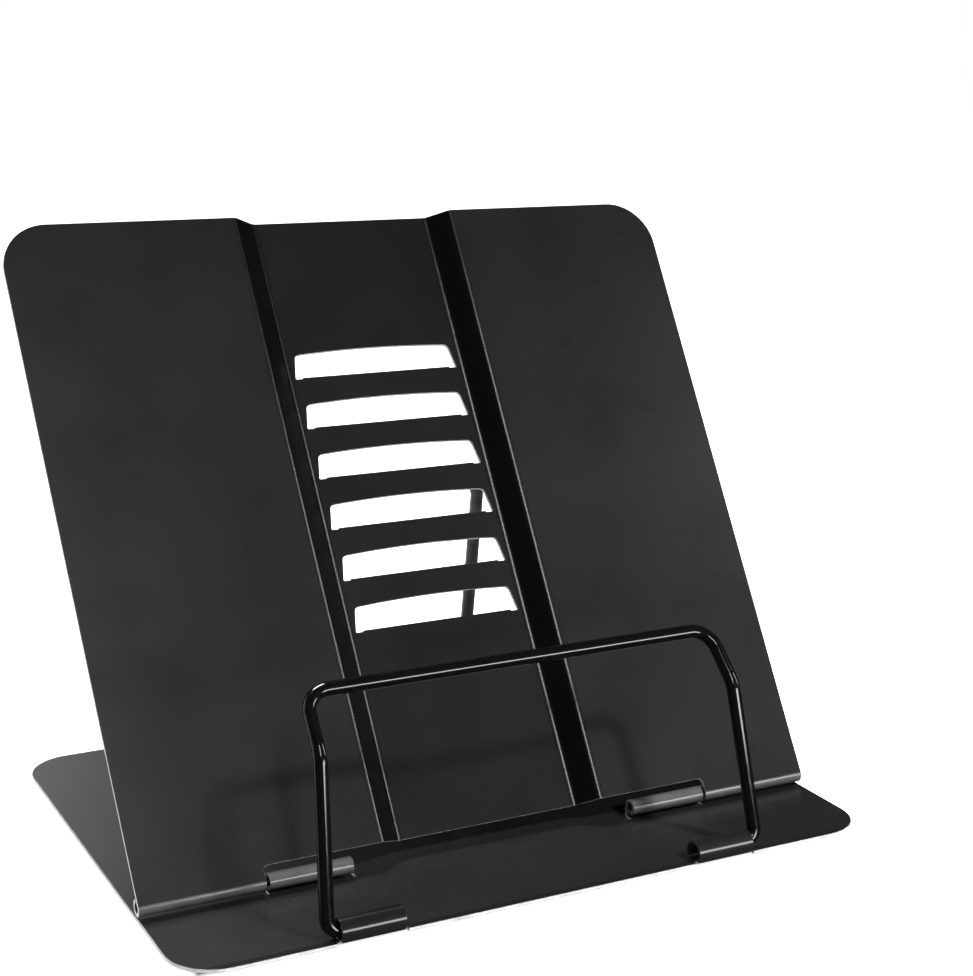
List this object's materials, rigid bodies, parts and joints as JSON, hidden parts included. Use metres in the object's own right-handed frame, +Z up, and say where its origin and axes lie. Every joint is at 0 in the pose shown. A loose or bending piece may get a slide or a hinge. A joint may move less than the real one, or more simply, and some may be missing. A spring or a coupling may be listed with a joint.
{
  "type": "book display stand",
  "caption": "Folding sheet-metal book stand: flat base, slotted sloping back plate, wire support leg behind and swinging wire page holder in front.",
  "frame": {"origin": "on the desk, under the middle of the overall box, the stand open", "axes": "+Z up, -Y towards the reader, +X to the reader's right"},
  "size_m": [0.21, 0.1617, 0.1701],
  "materials": {
    "black_paint": "fine satin black coating on sheet steel",
    "gloss_black": "gloss black coating on round wire",
    "dark_steel": "blackened steel pin",
    "rubber": "matt"
  },
  "bodies": {
    "base": {"base_plate": "black_paint", "foot_pad_front_left": "rubber", "foot_pad_front_right": "rubber", "foot_pad_rear_left": "rubber", "foot_pad_rear_right": "rubber"},
    "hinge_pins": {"hinge_pin_left": "dark_steel", "hinge_pin_right": "dark_steel"},
    "back_plate": {"back_plate": "black_paint"},
    "support_leg": {"support_leg": "gloss_black"},
    "page_holder": {"page_holder": "gloss_black"}
  },
  "joints": [
    {"name": "plate_fold", "type": "hinge", "parent": "base", "child": "hinge_pins", "pos_m": [0, -0.04295, 0.00545], "axis": [1, 0, 0], "range_deg": [-46, 0]},
    {"name": "plate_lift", "type": "hinge", "parent": "hinge_pins", "child": "back_plate", "pos_m": [0, -0.04295, 0.00545], "axis": [1, 0, 0], "range_deg": [0, 20]},
    {"name": "support_leg_swing", "type": "hinge", "parent": "base", "child": "support_leg", "pos_m": [0, 0.03685, 0.0049], "axis": [1, 0, 0], "range_deg": [-99, 0]},
    {"name": "page_holder_swing", "type": "hinge", "parent": "base", "child": "page_holder", "pos_m": [0, -0.07745, 0.0049], "axis": [1, 0, 0], "range_deg": [-18, 100]}
  ],
  "couplings": [
    {"joint": "support_leg_swing", "follows": "plate_fold", "ratio": 2.15}
  ]
}
